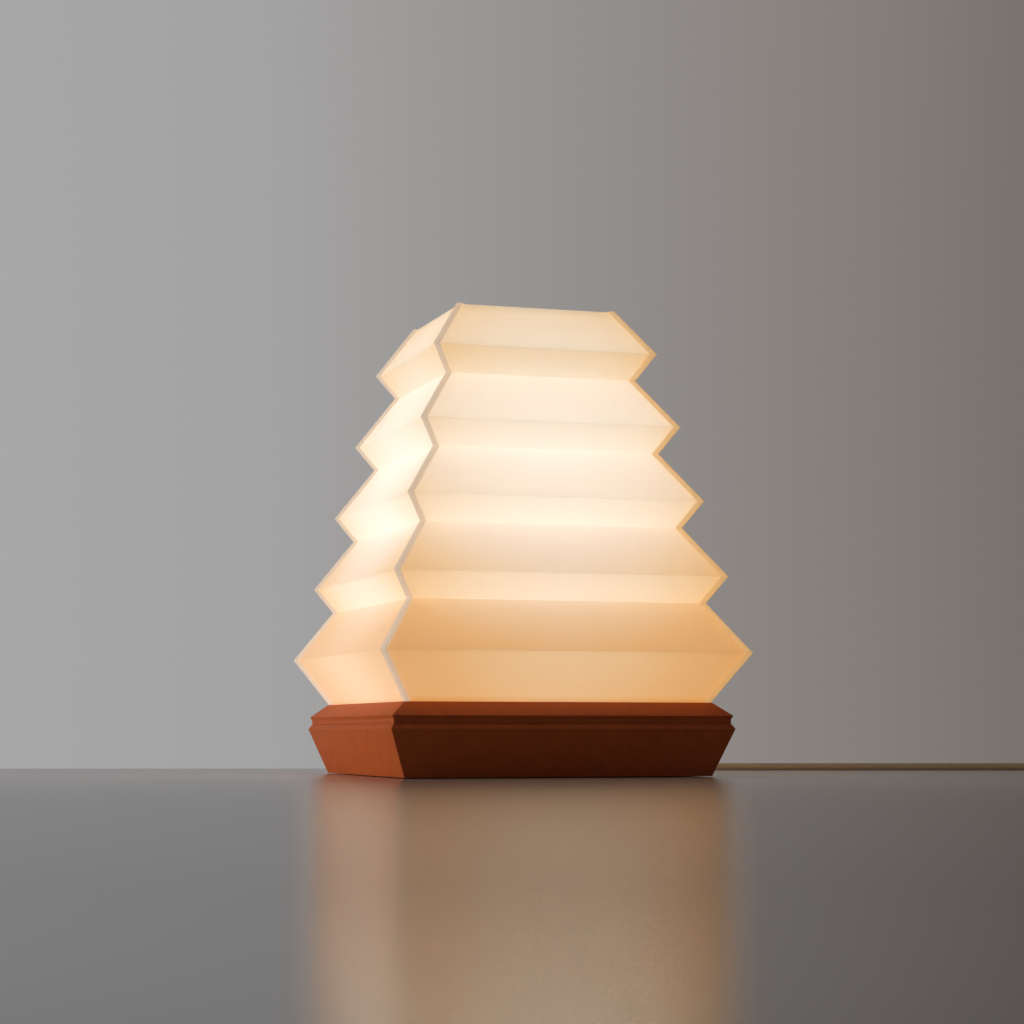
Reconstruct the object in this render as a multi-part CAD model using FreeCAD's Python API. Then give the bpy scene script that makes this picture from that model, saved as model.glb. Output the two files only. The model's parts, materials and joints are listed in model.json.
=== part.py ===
import FreeCAD, Part
import math
import os

# Pleated paper table lamp. Millimetres, +Z up, origin on the table under the middle of the base.
# The front faces -Y. "half" is the half width of something square, measured along X or Y.

V = FreeCAD.Vector
UP = V(0, 0, 1)
ROOT2 = math.sqrt(2)
QUARTER = 90.0
FIT = 0.3  # gap round a part that drops into another
THREAD_FIT = 0.05  # gap round a thread or a stem

# Shade: four pleated sheets and the four zigzag stays that join them
LAMP_HEIGHT = 340.0
DECK_HEIGHT = 52.5  # top of the base, where the shade stands
PLEATS = 5
TOP_HALF = 58.3  # half width of the paper at its top edge
FIRST_FOLD_DROP = 33.5  # from the top edge to the first outer fold
LAST_FOLD_RISE = 34.8  # from the deck to the last outer fold
PLEAT_STEP = 12.85  # how much wider each outer fold is than the one above
UPPER_FLANK_ANGLE = 34.9  # from the vertical, above an outer fold
LOWER_FLANK_ANGLE = 33.4  # from the vertical, below an outer fold
PAPER = 0.8
STAY = 3.0  # thickness of a corner stay
STAY_PROUD = 2.5  # how far it stands out of the corner
STAY_BAND = 8.0  # its width, level and along the diagonal
STAY_TOP_PROUD = 0.6
FRAME_THICK = 3.0
FRAME_WIDTH = 6.5
TOP_FRAME_DROP = 3.0  # below the paper's top edge

# Base
DECK_MARGIN = 1.2  # deck left free outside the corner stays
CHAMFER_RUN = 11.7
CHAMFER_DROP = 9.5
GROOVE_INSET = 1.5
GROOVE_LEDGE = 2.2  # height of the groove's sloped top
GROOVE_FACE = 3.4  # height of its upright face
LIP_DROP = 3.4  # height of its sloped bottom
LIP_STEP = 0.8  # how much wider the lower lip is than the upper rim
FLARE_RUN = 12.8  # how much the lower part leans in towards the foot
FOOT_GAP = 0.6  # the pads hold the base this far off the table
WALL = 3.0
SPIGOT = 2.5  # lip of the cover that drops inside the body
SPIGOT_DEPTH = 3.0
UPSTAND = 3.0  # wall of the square rim that locates the shade
UPSTAND_HEIGHT = 5.0
SHADE_PLAY = 0.5  # gap between that rim and the shade's frame
PLATE = 3.0  # steel bottom plate
PLATE_RECESS = 1.0
LEDGE = 3.0
LEDGE_WIDTH = 5.0
RECESS_WALL = 4.0
POST_R = 5.0
POST_INSET = 12.0  # post centre, in from the ledge opening
SCREW_R = 2.0
SCREW_HEAD_R = 3.8
SCREW_LENGTH = 12.0
PILOT_DEPTH = 14.0
DRIVE_R = 1.2
PAD_R = 8.0
PAD_INSET = 30.0  # pad centre, in from the plate's edge
BOSS_R = 22.0
BOSS_HEIGHT = 2.5

# Stem and lampholder
STEM_R = 5.0
STEM_BORE_R = 3.5
STEM_BELOW = 13.0  # thread left under the deck
NUT_FLATS = 14.0
NUT_HEIGHT = 4.0
WASHER_R = 10.0
WASHER = 1.2
STEM_SHOW = 8.0  # bare stem between the upper nut and the lampholder
STEM_GRIP = 12.0  # thread inside the lampholder's cup
CUP_NECK_R = 8.0
CUP_NECK = 5.0
CUP_R = 20.0
CUP_HEIGHT = 24.0
CUP_WALL = 2.2
SLEEVE_HEIGHT = 33.0
SLEEVE_RIM_R = 22.0
SLEEVE_RIM = 4.0
SLEEVE_WALL = 2.4
CORE_HEIGHT = 8.0
CORE_SINK = 4.0  # part of the core below the sleeve
CONTACT_R = 4.5
CONTACT = 1.6
SHELL_R = 14.2
SHELL_WALL = 0.6
SHELL_HEIGHT = 20.0

# Bulb
CAP_R = 13.1
CAP_HEIGHT = 22.0
CAP_WALL = 0.8
TIP_R = 4.5
TIP_HEIGHT = 1.4
INSULATOR_R = 9.0
INSULATOR_HEIGHT = 3.0
TIP_GAP = 0.2
COLLAR_HEIGHT = 22.0
COLLAR_R = 25.0
GLOBE_R = 47.5
GLOBE_WALL = 1.2
GLOBE_BANDS = 16
BOARD_R = 20.0
BOARD = 1.6

# Cord and what holds it
CORD_R = 2.9
EXIT_HEIGHT = 14.0
RELIEF_COLLAR_R = 6.2
RELIEF_COLLAR = 3.5
RELIEF_NECK_R = 5.2
RELIEF_END_R = 4.0
RELIEF_REACH = 33.0  # how far it stands out of the back wall
RELIEF_STRAIGHT = 5.0
RELIEF_RINGS = 4
RELIEF_RING = 1.6
RELIEF_PITCH = 4.6
EXIT_PAD_HALF = 12.0
EXIT_PAD_REACH = 5.0
CLAMP_WIDTH = 26.0
CLAMP_DEPTH = 9.0
CLAMP_TOP = 4.0
CLAMP_SCREW_SPAN = 17.0
CLAMP_SCREW_R = 1.5
CLAMP_GAP = 8.0  # from the relief's collar to the clamp
SHEATH_PAST_CLAMP = 5.0
CORE_R = 1.1
CORE_SPREAD = 1.5
BLOCK_SIZE = (22.0, 18.0, 15.0)
BLOCK_GAP = 14.0  # from the sheath's end to the terminal block
TERMINAL_SPREAD = 5.0
TERMINAL_R = 1.7
TERMINAL_HEIGHT = 8.0

# In-line switch, plug, tie and coil, lying beside the lamp on the table
SWITCH_X = 521.0
SWITCH_Y = 5.0
SWITCH_LENGTH = 62.0
SWITCH_WIDTH = 27.0
SWITCH_HEIGHT = 17.0
SWITCH_END_WIDTH = 12.0
SWITCH_SHOULDER = 14.0
SWITCH_SEAM = 8.0
SWITCH_ROUND = 2.5
SWITCH_WALL = 2.2
SWITCH_FLOOR = 3.0  # solid floor of the lower half under the rocker
ROCKER_LENGTH = 20.0
ROCKER_WIDTH = 11.0
ROCKER_GAP = 0.4
ROCKER_AXIS = 12.5
ROCKER_PROUD = 1.6
ROCKER_DEPTH = 5.0
ROCKER_TILT = 8.0  # either side of level
ROCKER_PIN_R = 1.2
PLUG_START = (467.0, -132.5, 6.85)
PLUG_RELIEF = 22.0
PLUG_RELIEF_R = 5.4
PLUG_RELIEF_END_R = 3.8
PLUG_LENGTH = 38.0
PLUG_WIDTH = 34.0
PLUG_NECK_WIDTH = 14.0
PLUG_SHOULDER = 16.0
PLUG_ROUND = 2.0
PIN_R = 2.0
PIN_LENGTH = 19.0
PIN_SPACING = 19.0
PIN_TIP = 0.8
COIL_CENTRE = (482.0, -68.0)
COIL_R = 39.0  # outermost turn, at the middle of the cord
COIL_PITCH = 6.4
COIL_IN = 5  # half turns in the lower layer
COIL_OUT = 4  # half turns in the upper layer
LAYER_RISE = 6.3
TIE = 1.0
TIE_WIDTH = 10.0
TIE_GAP = 0.3

# The cord's route, chosen by hand from the relief on the back wall
CORD_RUN = [
    (0.0, 130.0, 14.0), (0.0, 162.0, 14.0), (0.0, 180.5, 9.5), (1.0, 198.0, 4.0),
    (12.6, 219.6, 2.9), (35.1, 236.0, 2.9), (62.5, 240.6, 2.9), (105.3, 230.2, 2.9),
    (158.0, 214.5, 2.9), (218.5, 190.4, 2.9), (502.5, 99.5, 2.9), (514.5, 88.5, 2.9),
    (520.5, 72.5, 2.9), (521.0, 54.0, 8.0), (521.0, 36.0, 8.0),
]
CORD_LEAD = [(521.0, -26.0, 8.0), (521.0, -36.0, 8.0), (521.0, -50.0, 4.2), (521.0, -62.2, 4.2)]
CORD_TAIL = [
    (514.6, -73.8, 10.5), (514.6, -105.2, 10.5), (504.6, -122.5, 8.7), (487.0, -132.5, 6.85),
    (467.0, -132.5, 6.85),
]


def tan_deg(angle):
    return math.tan(math.radians(angle))


def save(name, solids):
    """Writes one piece, or a group of like pieces, as parts/NAME.step."""
    solids = solids if isinstance(solids, list) else [solids]
    bodies = [body for shape in solids for body in shape.Solids]
    whole = bodies[0] if len(bodies) == 1 else Part.makeCompound(bodies)
    whole.exportStep("parts/%s.step" % name)
    print("%-24s %2d solid(s) %10.1f mm3 valid %s" % (
        name, len(bodies), whole.Volume, whole.isValid()))


def turned(shape, degrees):
    copy = shape.copy()
    copy.rotate(V(0, 0, 0), UP, degrees)
    return copy


def box(low, high):
    size = [b - a for a, b in zip(low, high)]
    return Part.makeBox(size[0], size[1], size[2], V(*low))


def rod(r, start, length, axis=UP):
    return Part.makeCylinder(r, length, start, axis)


def prism(points, sweep):
    return Part.Face(Part.makePolygon(points + points[:1])).extrude(sweep)


def square_stack(levels):
    """A solid through squares at (height, half width), from the bottom up."""
    wires = []
    for z, half in levels:
        corners = [V(-half, -half, z), V(half, -half, z), V(half, half, z), V(-half, half, z)]
        wires.append(Part.makePolygon(corners + corners[:1]))
    return Part.makeLoft(wires, True, True)


def square_block(low_z, high_z, half):
    return box((-half, -half, low_z), (half, half, high_z))


def turned_profile(points, middle=V(0, 0, 0), axis=UP):
    """A solid of revolution from (radius, height) points about +Z, or laid along another axis."""
    outline = [V(r, 0, z) for r, z in points]
    shape = Part.Face(Part.makePolygon(outline + outline[:1])).revolve(V(0, 0, 0), UP, 360)
    shape = Part.Solid(Part.Shell(shape.Faces)) if shape.ShapeType != "Solid" else shape
    shape.Placement = FreeCAD.Placement(middle, FreeCAD.Rotation(UP, axis))
    return shape


def bent_path(points):
    """Straight runs joined by tangent arcs as large as the two runs allow; prints the tightest."""
    spots = [V(*p) for p in points]
    edges = []
    start = spots[0]
    radii = []
    for before, corner, after in zip(spots, spots[1:], spots[2:]):
        to_corner = (corner - before).normalize()
        onward = (after - corner).normalize()
        turn = to_corner.getAngle(onward)
        cut = 0.45 * min(corner.distanceToPoint(before), corner.distanceToPoint(after))
        radius = cut / math.tan(turn / 2)
        radii.append(radius)
        enter = corner - to_corner * cut
        leave = corner + onward * cut
        inward = (onward - to_corner).normalize()
        sagitta = radius / math.cos(turn / 2) - radius
        edges.append(Part.LineSegment(start, enter).toShape())
        edges.append(Part.Arc(enter, corner + inward * sagitta, leave).toShape())
        start = leave
    edges.append(Part.LineSegment(start, spots[-1]).toShape())
    return Part.Wire(edges), radii


def swept_tube(path, radius):
    first = path.Edges[0]
    heading = first.tangentAt(first.FirstParameter)
    ring = Part.Wire(Part.makeCircle(radius, first.valueAt(first.FirstParameter), heading))
    tube = path.makePipeShell([ring], True, False)
    return tube if tube.ShapeType == "Solid" else Part.Solid(tube)


def tube_along(name, points, radius):
    path, radii = bent_path(points)
    tube = swept_tube(path, radius)
    expected = math.pi * radius ** 2 * path.Length
    print("%-12s length %7.1f, volume / (section x length) %.4f, radii %s" % (
        name, path.Length, tube.Volume / expected, " ".join("%.0f" % r for r in radii)))
    return tube, path.Length


# ---- Shade ----

PAPER_TOP = LAMP_HEIGHT - STAY_TOP_PROUD
PAPER_RUN = PAPER / math.cos(math.radians(UPPER_FLANK_ANGLE))  # its thickness, measured level
FIRST_FOLD_Z = PAPER_TOP - FIRST_FOLD_DROP
PLEAT_PITCH = (FIRST_FOLD_Z - DECK_HEIGHT - LAST_FOLD_RISE) / (PLEATS - 1)
UPPER_SLOPE = tan_deg(UPPER_FLANK_ANGLE)
LOWER_SLOPE = tan_deg(LOWER_FLANK_ANGLE)
UPPER_DROP = (PLEAT_STEP + LOWER_SLOPE * PLEAT_PITCH) / (UPPER_SLOPE + LOWER_SLOPE)


def pleat_profile(top_z):
    """(half width, height) of the paper's outer face, from top_z down to the deck."""
    first_half = TOP_HALF + FIRST_FOLD_DROP * UPPER_SLOPE
    points = [(first_half - (top_z - FIRST_FOLD_Z) * UPPER_SLOPE, top_z)]
    for fold in range(PLEATS):
        half = first_half + fold * PLEAT_STEP
        z = FIRST_FOLD_Z - fold * PLEAT_PITCH
        points.append((half, z))
        if fold < PLEATS - 1:
            inner_z = z - (PLEAT_PITCH - UPPER_DROP)
            points.append((half - (z - inner_z) * LOWER_SLOPE, inner_z))
    half, z = points[-1]
    points.append((half - (z - DECK_HEIGHT) * LOWER_SLOPE, DECK_HEIGHT))
    return points


def half_at(z):
    """Half width of the paper's outer face at height z."""
    profile = pleat_profile(PAPER_TOP)
    for (half_a, z_a), (half_b, z_b) in zip(profile, profile[1:]):
        if z_b <= z <= z_a:
            return half_b + (half_a - half_b) * (z - z_b) / (z_a - z_b)
    return profile[-1][0]


def shade_panel(turn):
    """One pleated sheet, mitred at both ends against the faces of the corner stays."""
    outer = pleat_profile(PAPER_TOP)
    inner = [(half - PAPER_RUN, z) for half, z in reversed(outer)]
    reach = 2 * max(half for half, _ in outer)
    outline = [V(-reach, -half, z) for half, z in outer + inner]
    sheet = prism(outline, V(2 * reach, 0, 0))
    apex = -STAY / ROOT2
    wedge = [V(0, apex, 0), V(-reach, apex - reach, 0), V(reach, apex - reach, 0)]
    return turned(sheet.common(prism(wedge, V(0, 0, 2 * LAMP_HEIGHT))), turn)


def corner_stay(turn):
    """A flat zigzag strip on the diagonal, cut parallel to the corner's folds."""
    outer = [(ROOT2 * half + STAY_PROUD, z) for half, z in pleat_profile(LAMP_HEIGHT)]
    inner = [(r - STAY_BAND, z) for r, z in reversed(outer)]
    outline = [V(r, -STAY / 2, z) for r, z in outer + inner]
    return turned(prism(outline, V(0, STAY, 0)), turn - QUARTER / 2)


def shade_frame(low_z, high_z, stays):
    """A flat square frame whose edges follow the paper, notched for the four stays."""
    halves = [half_at(z) - PAPER_RUN for z in (low_z, high_z)]
    plate = square_stack([(low_z, halves[0]), (high_z, halves[1])])
    window = square_block(low_z - FIT, high_z + FIT, min(halves) - FRAME_WIDTH)
    frame = plate.cut(window)
    for stay in stays:
        frame = frame.cut(stay)
    return frame


def make_shade():
    sides = ("front", "right", "back", "left")
    corners = ("front_right", "back_right", "back_left", "front_left")
    stays = []
    for i, side in enumerate(sides):
        save("shade_panel_" + side, shade_panel(i * QUARTER))
    for i, corner in enumerate(corners):
        stays.append(corner_stay(i * QUARTER))
        save("corner_stay_" + corner, stays[-1])
    top = PAPER_TOP - TOP_FRAME_DROP
    save("top_frame", shade_frame(top - FRAME_THICK, top, stays))
    save("bottom_frame", shade_frame(DECK_HEIGHT, DECK_HEIGHT + FRAME_THICK, stays))


# ---- Base ----

FRAME_WINDOW = half_at(DECK_HEIGHT) - PAPER_RUN - FRAME_WIDTH
DECK_HALF = half_at(DECK_HEIGHT) + STAY_PROUD / ROOT2 + DECK_MARGIN
RIM_HALF = DECK_HALF + CHAMFER_RUN
RIM_Z = DECK_HEIGHT - CHAMFER_DROP
GROOVE_HALF = RIM_HALF - GROOVE_INSET
GROOVE_TOP = RIM_Z - GROOVE_LEDGE
SEAM_Z = GROOVE_TOP - GROOVE_FACE
LIP_HALF = RIM_HALF + LIP_STEP
LIP_Z = SEAM_Z - LIP_DROP
FOOT_HALF = LIP_HALF - FLARE_RUN
FLARE_SLOPE = FLARE_RUN / (LIP_Z - FOOT_GAP)
PLATE_LOW = FOOT_GAP + PLATE_RECESS
PLATE_TOP = PLATE_LOW + PLATE
LEDGE_TOP = PLATE_TOP + LEDGE
RECESS_HALF = FOOT_HALF - RECESS_WALL
PLATE_HALF = RECESS_HALF - FIT
LEDGE_HALF = RECESS_HALF - LEDGE_WIDTH
POST_AT = LEDGE_HALF - POST_INSET
PAD_AT = PLATE_HALF - PAD_INSET
WALL_INNER = GROOVE_HALF - WALL


def four_corners(reach):
    return [(x, y) for x in (-reach, reach) for y in (-reach, reach)]


def wall_line(height):
    """Half width of the body's outer wall at a height."""
    return FOOT_HALF + (height - FOOT_GAP) * FLARE_SLOPE


EXIT_WALL_Y = wall_line(EXIT_HEIGHT)
EXIT_PAD_Y = wall_line(LEDGE_TOP) - WALL - EXIT_PAD_REACH


def body_outside():
    return square_stack([(FOOT_GAP, FOOT_HALF), (LIP_Z, LIP_HALF), (SEAM_Z, GROOVE_HALF)])


def make_base_body():
    shift = WALL * math.sqrt(1 + FLARE_SLOPE ** 2)
    knee = LEDGE_TOP + (WALL_INNER - (wall_line(LEDGE_TOP) - shift)) / FLARE_SLOPE
    cavity = square_stack([
        (LEDGE_TOP, wall_line(LEDGE_TOP) - shift), (knee, WALL_INNER), (SEAM_Z + FIT, WALL_INNER)])
    shell = body_outside().cut(cavity)
    shell = shell.cut(square_block(PLATE_TOP - FIT, LEDGE_TOP + FIT, LEDGE_HALF))
    shell = shell.cut(square_block(0, PLATE_TOP, RECESS_HALF))
    pad = box((-EXIT_PAD_HALF, EXIT_PAD_Y, LEDGE_TOP),
              (EXIT_PAD_HALF, EXIT_WALL_Y, EXIT_HEIGHT + RELIEF_COLLAR_R + FIT))
    shell = shell.fuse(pad.common(body_outside())).removeSplitter()
    hole = rod(RELIEF_NECK_R + THREAD_FIT, V(0, EXIT_PAD_Y - WALL, EXIT_HEIGHT),
               4 * WALL + RELIEF_REACH, V(0, 1, 0))
    save("base_body", shell.cut(hole))


def make_base_cover():
    slope = CHAMFER_RUN / CHAMFER_DROP
    shift = WALL * math.sqrt(1 + slope ** 2)
    under = DECK_HEIGHT - WALL
    inner_half = WALL_INNER - SPIGOT
    knee = DECK_HEIGHT - (inner_half + shift - DECK_HALF) / slope
    outside = square_stack([
        (SEAM_Z, GROOVE_HALF), (GROOVE_TOP, GROOVE_HALF), (RIM_Z, RIM_HALF),
        (DECK_HEIGHT, DECK_HALF)])
    spigot = square_block(SEAM_Z - SPIGOT_DEPTH, SEAM_Z, WALL_INNER - FIT)
    inside = square_stack([
        (SEAM_Z - SPIGOT_DEPTH, inner_half), (knee, inner_half),
        (under, DECK_HALF + WALL * slope - shift)])
    cover = outside.fuse(spigot).cut(inside)
    rim_half = FRAME_WINDOW - SHADE_PLAY
    rim = square_block(DECK_HEIGHT, DECK_HEIGHT + UPSTAND_HEIGHT, rim_half)
    rim = rim.cut(square_block(DECK_HEIGHT, DECK_HEIGHT + UPSTAND_HEIGHT, rim_half - UPSTAND))
    cover = cover.fuse([rim, rod(BOSS_R, V(0, 0, DECK_HEIGHT), BOSS_HEIGHT)])
    for x, y in four_corners(POST_AT):
        cover = cover.fuse(rod(POST_R, V(x, y, PLATE_TOP), under - PLATE_TOP + WALL / 2))
    for x, y in four_corners(POST_AT):
        cover = cover.cut(rod(SCREW_R + THREAD_FIT, V(x, y, PLATE_TOP), PILOT_DEPTH))
    cover = cover.cut(rod(STEM_R + THREAD_FIT, V(0, 0, under - WALL), 4 * WALL))
    save("base_cover", cover.removeSplitter())


def countersunk_screw(x, y, low_z, r, head_r, length):
    """A flat-headed screw that points up, its head's face at low_z, with a cross recess."""
    head = head_r - r
    screw = turned_profile([(0, 0), (head_r, 0), (r, head), (r, length - r / 2),
                            (r / 2, length), (0, length)], V(x, y, low_z))
    arm = head_r * 0.6
    slots = [box((x - a, y - b, low_z - FIT), (x + a, y + b, low_z + head / 2))
             for a, b in ((arm, r * 0.2), (r * 0.2, arm))]
    return screw.cut(slots[0].fuse(slots[1]))


def make_base_plate():
    plate = square_block(PLATE_LOW, PLATE_TOP, PLATE_HALF)
    screws = []
    for x, y in four_corners(POST_AT):
        seat = turned_profile([(0, 0), (SCREW_HEAD_R + THREAD_FIT, 0),
                               (SCREW_R + THREAD_FIT, SCREW_HEAD_R - SCREW_R),
                               (SCREW_R + THREAD_FIT, PLATE), (0, PLATE)], V(x, y, PLATE_LOW))
        plate = plate.cut(seat)
        screws.append(countersunk_screw(x, y, PLATE_LOW, SCREW_R, SCREW_HEAD_R, SCREW_LENGTH))
    for x in (-CLAMP_SCREW_SPAN / 2, CLAMP_SCREW_SPAN / 2):
        plate = plate.cut(rod(CLAMP_SCREW_R + THREAD_FIT, V(x, CLAMP_Y, PLATE_LOW), PLATE))
    save("base_plate", plate)
    save("base_screws", screws)
    pads = []
    for x, y in four_corners(PAD_AT):
        pads.append(turned_profile([(0, 0), (PAD_R - PLATE_LOW / 2, 0), (PAD_R, PLATE_LOW / 2),
                                    (PAD_R, PLATE_LOW), (0, PLATE_LOW)], V(x, y, 0)))
    save("foot_pads", pads)


# ---- Stem, lampholder and bulb ----

BOSS_Z = DECK_HEIGHT + BOSS_HEIGHT
HOLDER_Z = BOSS_Z + WASHER + NUT_HEIGHT + STEM_SHOW
SLEEVE_Z = HOLDER_Z + CUP_HEIGHT
MOUTH_Z = SLEEVE_Z + SLEEVE_HEIGHT
CORE_Z = SLEEVE_Z - CORE_SINK
CONTACT_Z = CORE_Z + CORE_HEIGHT
TIP_Z = CONTACT_Z + CONTACT + TIP_GAP
CAP_Z = TIP_Z + TIP_HEIGHT + INSULATOR_HEIGHT
COLLAR_Z = CAP_Z + CAP_HEIGHT
GLOBE_LOW = COLLAR_Z + COLLAR_HEIGHT
GLOBE_Z = GLOBE_LOW + math.sqrt(GLOBE_R ** 2 - COLLAR_R ** 2)


def hex_nut(low_z):
    corner_r = NUT_FLATS / math.sqrt(3)
    ring = [V(corner_r * math.cos(math.radians(a)), corner_r * math.sin(math.radians(a)), low_z)
            for a in range(0, 360, 60)]
    blank = prism(ring, V(0, 0, NUT_HEIGHT))
    edge = corner_r - NUT_FLATS / 2
    crown = turned_profile([(0, 0), (NUT_FLATS / 2, 0), (corner_r, edge / 2),
                            (corner_r, NUT_HEIGHT - edge / 2), (NUT_FLATS / 2, NUT_HEIGHT),
                            (0, NUT_HEIGHT)], V(0, 0, low_z))
    return blank.common(crown).cut(rod(STEM_R + THREAD_FIT, V(0, 0, low_z), NUT_HEIGHT))


def ring(outer_r, inner_r, low_z, height):
    return rod(outer_r, V(0, 0, low_z), height).cut(rod(inner_r, V(0, 0, low_z), height))


def make_stem():
    under = DECK_HEIGHT - WALL
    low = under - STEM_BELOW
    save("stem_tube", ring(STEM_R, STEM_BORE_R, low, HOLDER_Z + STEM_GRIP - low))
    save("stem_washers", [ring(WASHER_R, STEM_R + THREAD_FIT, z, WASHER)
                          for z in (under - WASHER, BOSS_Z)])
    save("stem_nuts", [hex_nut(under - WASHER - NUT_HEIGHT), hex_nut(BOSS_Z + WASHER)])


def make_lampholder():
    hole_r = STEM_R + THREAD_FIT
    bowl_z = HOLDER_Z + CUP_NECK
    shoulder_z = bowl_z + (CUP_HEIGHT - CUP_NECK) / 2
    inner_r = CUP_R - CUP_WALL
    save("lampholder_cup", turned_profile([
        (hole_r, HOLDER_Z), (CUP_NECK_R, HOLDER_Z), (CUP_NECK_R, bowl_z), (CUP_R, shoulder_z),
        (CUP_R, SLEEVE_Z), (inner_r, SLEEVE_Z), (inner_r, shoulder_z),
        (CUP_NECK_R, bowl_z + CUP_WALL), (hole_r, bowl_z + CUP_WALL)]))
    core_r = CUP_R - SLEEVE_WALL - THREAD_FIT
    core = turned_profile([(TERMINAL_R, CORE_Z), (core_r, CORE_Z), (core_r, CONTACT_Z),
                           (TERMINAL_R, CONTACT_Z)])
    save("lampholder_core", core)
    save("lampholder_contact", turned_profile([
        (0, CONTACT_Z), (CONTACT_R, CONTACT_Z), (CONTACT_R, CONTACT_Z + CONTACT / 2),
        (CONTACT_R / 2, CONTACT_Z + CONTACT), (0, CONTACT_Z + CONTACT)]))
    save("lampholder_shell", ring(SHELL_R, SHELL_R - SHELL_WALL, CONTACT_Z, SHELL_HEIGHT))
    bore_r = CUP_R - SLEEVE_WALL
    save("lampholder_sleeve", turned_profile([
        (bore_r, SLEEVE_Z), (CUP_R, SLEEVE_Z), (CUP_R, MOUTH_Z - 2 * SLEEVE_RIM),
        (SLEEVE_RIM_R, MOUTH_Z - SLEEVE_RIM), (SLEEVE_RIM_R, MOUTH_Z - SLEEVE_RIM / 4),
        (SLEEVE_RIM_R - SLEEVE_RIM / 4, MOUTH_Z), (SHELL_R + FIT, MOUTH_Z),
        (SHELL_R + FIT, MOUTH_Z - SLEEVE_RIM), (bore_r, MOUTH_Z - SLEEVE_RIM)]))


def globe_line(r):
    """(radius, height) round a sphere of the globe's centre, from its open foot to its top."""
    start = math.asin((GLOBE_LOW - GLOBE_Z) / r)
    angles = [start + (math.pi / 2 - start) * i / GLOBE_BANDS for i in range(GLOBE_BANDS)]
    return [(r * math.cos(a), GLOBE_Z + r * math.sin(a)) for a in angles] + [(0, GLOBE_Z + r)]


def make_bulb():
    save("bulb_tip", turned_profile([
        (0, TIP_Z), (TIP_R / 2, TIP_Z), (TIP_R, TIP_Z + TIP_HEIGHT / 2),
        (TIP_R, TIP_Z + TIP_HEIGHT), (0, TIP_Z + TIP_HEIGHT)]))
    save("bulb_insulator", turned_profile([
        (0, TIP_Z + TIP_HEIGHT), (TIP_R, TIP_Z + TIP_HEIGHT), (INSULATOR_R, CAP_Z), (0, CAP_Z)]))
    save("bulb_cap", turned_profile([
        (0, CAP_Z), (INSULATOR_R, CAP_Z), (CAP_R, CAP_Z + CAP_R - INSULATOR_R),
        (CAP_R, COLLAR_Z), (CAP_R - CAP_WALL, COLLAR_Z),
        (CAP_R - CAP_WALL, CAP_Z + CAP_R - INSULATOR_R),
        (INSULATOR_R - CAP_WALL, CAP_Z + CAP_WALL), (0, CAP_Z + CAP_WALL)]))
    collar_start = V(CAP_R + CAP_WALL, 0, COLLAR_Z)
    collar_end = V(COLLAR_R, 0, GLOBE_LOW)
    belly = V((collar_start.x + COLLAR_R) / 2 - CAP_WALL, 0, (COLLAR_Z + GLOBE_LOW) / 2 + CAP_WALL)
    side = Part.Arc(collar_start, belly, collar_end).toShape()
    rest = Part.makePolygon([collar_end, V(0, 0, GLOBE_LOW), V(0, 0, COLLAR_Z), collar_start])
    save("bulb_collar", Part.Face(Part.Wire([side] + rest.Edges)).revolve(V(0, 0, 0), UP, 360))
    save("bulb_board", rod(BOARD_R, V(0, 0, GLOBE_LOW), BOARD))
    outside = globe_line(GLOBE_R)
    inside = globe_line(GLOBE_R - GLOBE_WALL)
    save("bulb_globe", turned_profile(outside + inside[::-1]))


# ---- Wiring inside the base ----

COLLAR_Y = EXIT_PAD_Y - RELIEF_COLLAR
CLAMP_Y = COLLAR_Y - CLAMP_GAP - CLAMP_DEPTH / 2
SHEATH_Y = CLAMP_Y - CLAMP_DEPTH / 2 - SHEATH_PAST_CLAMP
BLOCK_BACK = SHEATH_Y - BLOCK_GAP
BLOCK_FRONT = BLOCK_BACK - BLOCK_SIZE[1]


def make_relief():
    """Tapered rubber sleeve, held in the back wall by its collar, with rings cut in its outside."""
    outer_end = EXIT_WALL_Y + RELIEF_REACH
    taper_y = EXIT_WALL_Y + RELIEF_STRAIGHT
    bore_r = CORD_R + THREAD_FIT
    reach = outer_end - COLLAR_Y
    lengths = [(bore_r, 0), (RELIEF_COLLAR_R, 0), (RELIEF_COLLAR_R, RELIEF_COLLAR),
               (RELIEF_NECK_R, RELIEF_COLLAR), (RELIEF_NECK_R, taper_y - COLLAR_Y),
               (RELIEF_END_R, reach), (bore_r, reach)]
    along = V(0, 1, 0)
    start = V(0, COLLAR_Y, EXIT_HEIGHT)
    relief = turned_profile(lengths, start, along)
    for i in range(RELIEF_RINGS):
        y = taper_y + RELIEF_RING + i * RELIEF_PITCH
        share = (y - taper_y) / (outer_end - taper_y)
        depth_r = RELIEF_NECK_R + (RELIEF_END_R - RELIEF_NECK_R) * share - (RELIEF_END_R - CORD_R) / 2
        groove = rod(RELIEF_COLLAR_R, V(0, y, EXIT_HEIGHT), RELIEF_RING, along)
        relief = relief.cut(groove.cut(rod(depth_r, V(0, y, EXIT_HEIGHT), RELIEF_RING, along)))
    save("cord_relief", relief)


def clamp_half(low_z, high_z):
    half = CLAMP_WIDTH / 2
    block = box((-half, CLAMP_Y - CLAMP_DEPTH / 2, low_z), (half, CLAMP_Y + CLAMP_DEPTH / 2, high_z))
    block = block.cut(rod(CORD_R + THREAD_FIT, V(0, CLAMP_Y - CLAMP_DEPTH, EXIT_HEIGHT),
                          2 * CLAMP_DEPTH, V(0, 1, 0)))
    for x in (-CLAMP_SCREW_SPAN / 2, CLAMP_SCREW_SPAN / 2):
        block = block.cut(rod(CLAMP_SCREW_R + THREAD_FIT, V(x, CLAMP_Y, low_z), high_z - low_z))
    return block


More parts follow.
